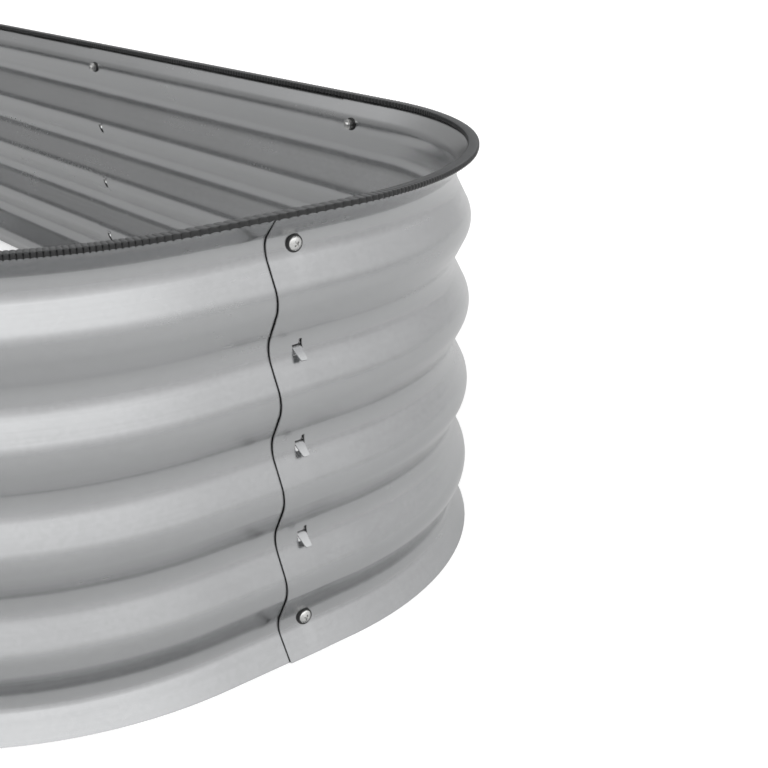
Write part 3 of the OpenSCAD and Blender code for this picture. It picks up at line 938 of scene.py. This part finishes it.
def cross_cutter(top, bottom):
    """A tapered cross for the screwdriver: (depth, arm length, half width) twice."""
    points, corners = [], 12
    for depth, arm, half in (bottom, top):
        quarter = [(arm, half), (half, half), (half, arm)]
        for _ in range(4):
            points += [(depth, y, z) for y, z in quarter]
            quarter = [(-z, y) for y, z in quarter]  # a quarter turn
    faces = [(i, (i + 1) % corners, corners + (i + 1) % corners, corners + i) for i in range(corners)]
    faces += [tuple(reversed(range(corners))), tuple(range(corners, 2 * corners))]
    made = mesh_object("cross_cutter", points, (), faces)
    scratch.append(made)
    return made


head_top = HEAD_SEAT + HEAD_HEIGHT
bolt = spun("bolt", bolt_rings(), 32)
carve = bolt.modifiers.new("recess", "BOOLEAN")
carve.object = cross_cutter(
    (head_top + 0.6 * MM, 2.7 * MM, 0.58 * MM), (head_top - 1.5 * MM, 1.2 * MM, 0.36 * MM))
carve.solver = "EXACT"
print("bolt rings:", len(bolt_rings()), "depths from", round(BOLT_TIP, 5), "to", round(head_top, 5))

# %% [markdown]
# A nut is cut from six-sided bar and chamfered by a cone, so its flats end in
# curves, which a bevel can't give. The radius follows the hexagon and the depth
# follows the cone.

# %% Shape the nut


def nut_rings():
    """Once round the nut's section: its back, its sides, its front and its bore."""
    flat, bore, round_radius, bore_chamfer = 4 * MM, 2.55 * MM, 3.85 * MM, 0.35 * MM
    slope = math.tan(math.radians(30))

    def hexagon(a):
        return flat / math.cos((a + math.pi / 6) % (math.pi / 3) - math.pi / 6)

    def chamfered(depth, sign):
        return lambda a: (depth + sign * (hexagon(a) - round_radius) * slope, hexagon(a))

    return [
        ring(NUT_END, round_radius), chamfered(NUT_END, 1),
        chamfered(NUT_SEAT, -1), ring(NUT_SEAT, round_radius),
        ring(NUT_SEAT, bore), ring(NUT_END + bore_chamfer, bore), ring(NUT_END, bore + bore_chamfer)]


nut = spun("nut", nut_rings(), 48, closed=True)
print("nut faces:", len(nut.data.polygons))

# %% [markdown]
# Rubber takes the shape of what presses it: flat under the head or the nut, and
# following the rib on its other side. A soft-body simulation could press it, but
# the rib's profile is known, so each ring reads its depth from it.

# %% Press the washers


def washer_rings(bolt_height, outside):
    """A rubber washer with one side flat and the other pressed to the sheet."""
    side = 1 if outside else -1
    face = LAYER_STEP / 2 + SEAT_GAP if outside else -LAYER_STEP / 2 - SHEET - SEAT_GAP
    flat = WASHER_FRONT if outside else NUT_SEAT

    def pressed(r):
        def at(a):
            depth = face_depth(bolt_height + r * math.sin(a)) + face
            return depth if outside else min(depth, NUT_SEAT + WASHER_THICK), r
        return at

    def level(r, sink):
        def at(a):
            room = side * (flat - pressed(WASHER_RADIUS)(a)[0])
            return flat - side * min(sink, 0.6 * room), r
        return at

    # From the bore over the pressed side, round the outer corner and back over the flat side.
    rings = [
        pressed(WASHER_BORE), pressed(4 * MM), pressed(5 * MM), pressed(WASHER_RADIUS - 0.1 * MM),
        level(WASHER_RADIUS, 0.5 * MM), level(WASHER_RADIUS - 0.12 * MM, 0.2 * MM),
        level(WASHER_RADIUS - 0.5 * MM, 0.02 * MM), level(WASHER_BORE, 0)]
    return rings if outside else rings[::-1]


outer_washers, inner_washers = (
    [spun(f"washer_{n}_{where}", washer_rings(z, where == "outside"), 48, closed=True)
     for n, z in enumerate(BOLT_HEIGHTS)] for where in ("outside", "inside"))
print("washer templates:", len(outer_washers) + len(inner_washers))

# %% [markdown]
# A point for each bolt carries the direction that the wall faces there. The tree
# places a template on each point and spins it by a random angle, as a fitter
# leaves bolts and nuts at any angle. Washers are pressed to the ribs, so they
# are not spun, and each bolt height and each side of the wall has its own.

# %% Place the fasteners


def placing_tree():
    tree, given = new_tree("place_on_the_wall", [
        ("Lower", "Object", None), ("Upper", "Object", None), ("Largest spin", "Float", 0.0),
        ("Seed", "Int", 0), ("Material", "Material", None)])
    spin = add(tree, "FunctionNodeRandomValue", {
        "Seed": given["Seed"], 3: given["Largest spin"]}, data_type="FLOAT").outputs[1]
    turn = add(tree, "ShaderNodeCombineXYZ", {"X": spin, "Z": number_at(tree, "facing")}).outputs[0]
    upper = number_at(tree, "upper")
    lower = maths(tree, "SUBTRACT", 1.0, upper)
    joined = add(tree, "GeometryNodeJoinGeometry")
    for label, chosen in (("Lower", lower), ("Upper", upper)):
        placed = add(tree, "GeometryNodeInstanceOnPoints", {
            "Points": given["Geometry"], "Selection": chosen, "Instance": object_mesh(tree, given[label]),
            "Rotation": turn})
        tree.links.new(placed.outputs[0], joined.inputs[0])
    return close_tree(tree, finish_tree(tree, joined.outputs[0], given["Material"], math.radians(35)))


place = placing_tree()
bolt_points, facings, uppers = [], [], []
for k in range(PANEL_COUNT):
    for n, z in enumerate(BOLT_HEIGHTS):
        point, _, _, angle = spot(seam(k))
        bolt_points.append(point + Vector((0, 0, z)))
        facings.append(angle)
        uppers.append(float(n))
wall_points = mesh_object("wall_points", bolt_points, numbers={"facing": facings, "upper": uppers})
scratch.append(wall_points)

for name, templates, spin, finish, slot, label in (
        ("lap_bolts", (bolt, bolt), math.pi / 2, bright_zinc, "bright_zinc", "bolts"),
        ("outer_washers", outer_washers, 0.0, washer_rubber, "washer_rubber", "washers"),
        ("inner_washers", inner_washers, 0.0, washer_rubber, "washer_rubber", "washers"),
        ("lap_nuts", (nut, nut), math.pi / 3, bright_zinc, "bright_zinc", "nuts")):
    piece = run_tree(place, wall_points, name, {
        "Lower": templates[0], "Upper": templates[1], "Largest spin": spin, "Seed": 7, "Material": finish})
    settle(piece, slot, *[f"seam_{k + 1:02d}_{label}" for k in range(PANEL_COUNT)])

for spare in scratch:
    bpy.data.objects.remove(spare)

# %% [markdown]
# ## The floor
#
# The bed stands on a wide floor of matt white. The floor adds light of its own
# where the camera sees it, so that it reads as white and still keeps the bed's
# soft shadow. Mirrored in the metal it adds less.

# %% Lay the floor
FLOOR_HALF, FLOOR_LEVEL = 20.0, -0.3 * MM  # just under the bed, so that no faces coincide
FLOOR_GLOW = {"Is Camera Ray": 0.42, "Is Glossy Ray": 0.08, "Is Transmission Ray": 0.08}

corners = [(x * FLOOR_HALF, y * FLOOR_HALF, FLOOR_LEVEL) for x, y in ((-1, -1), (1, -1), (1, 1), (-1, 1))]
floor = mesh_object("floor", corners, (), [(0, 1, 2, 3)])
white_floor, tree, shader = new_finish("white_floor")
shader.inputs["Base Color"].default_value = (0.8, 0.8, 0.8, 1)
shader.inputs["Roughness"].default_value = 0.9
shader.inputs["Specular IOR Level"].default_value = 0.0

path = add(tree, "ShaderNodeLightPath").outputs
glow = 0.0
for kind, strength in FLOOR_GLOW.items():
    glow = maths(tree, "MULTIPLY_ADD", path[kind], strength, glow)
shader.inputs["Emission Color"].default_value = (1, 1, 1, 1)
tree.links.new(glow, shader.inputs["Emission Strength"])
floor.data.materials.append(white_floor)
print("glow of the floor:", FLOOR_GLOW)

# %% [markdown]
# ## The light
#
# Satin steel mirrors its surroundings, so what counts is how bright each
# direction is. Soft boxes could do it, but one sky says it in a few numbers and
# leaves no hard reflections. As in a round tent it is brightest halfway up, dark
# overhead, and brighter on two sides, so that each rib shows a light crest
# between darker slopes.

# %% Light the studio
# (sine of the angle above the horizon, strength)
SKY_LEVELS = [(0.0, 0.38), (0.13, 0.38), (0.42, 0.52), (0.70, 1.05), (0.84, 0.8), (0.93, 0.0)]
SKY_SIDES = [(-46, 1.63), (72, 1.19)]  # (degrees from +X, share that is added there)

sky = bpy.data.worlds.new("studio_sky")
scene.world = sky
sky.use_nodes = True
tree = sky.node_tree
towards = add(tree, "ShaderNodeTexCoord").outputs["Generated"]
up = add(tree, "ShaderNodeSeparateXYZ", {0: towards}).outputs["Z"]
level = add(tree, "ShaderNodeValToRGB", {"Fac": up})
ramp = level.color_ramp.elements
while len(ramp) < len(SKY_LEVELS):
    ramp.new(1.0)
for stop, (sine, strength) in zip(ramp, SKY_LEVELS):
    stop.position = sine
    stop.color = (strength, strength, strength, 1)
total = 1.0
for degrees, share in SKY_SIDES:
    a = math.radians(degrees)
    side = add(tree, "ShaderNodeVectorMath", {
        0: towards, 1: (math.cos(a), math.sin(a), 0)}, operation="DOT_PRODUCT").outputs["Value"]
    facing = maths(tree, "MAXIMUM", side, 0.0)
    total = maths(tree, "MULTIPLY_ADD", facing, share, total)
background = tree.nodes["Background"].inputs
tree.links.new(maths(tree, "MULTIPLY", level.outputs["Color"], total), background["Strength"])
background["Color"].default_value = (1, 1, 1, 1)
print("sky stops:", len(ramp), "brighter sides:", len(SKY_SIDES))
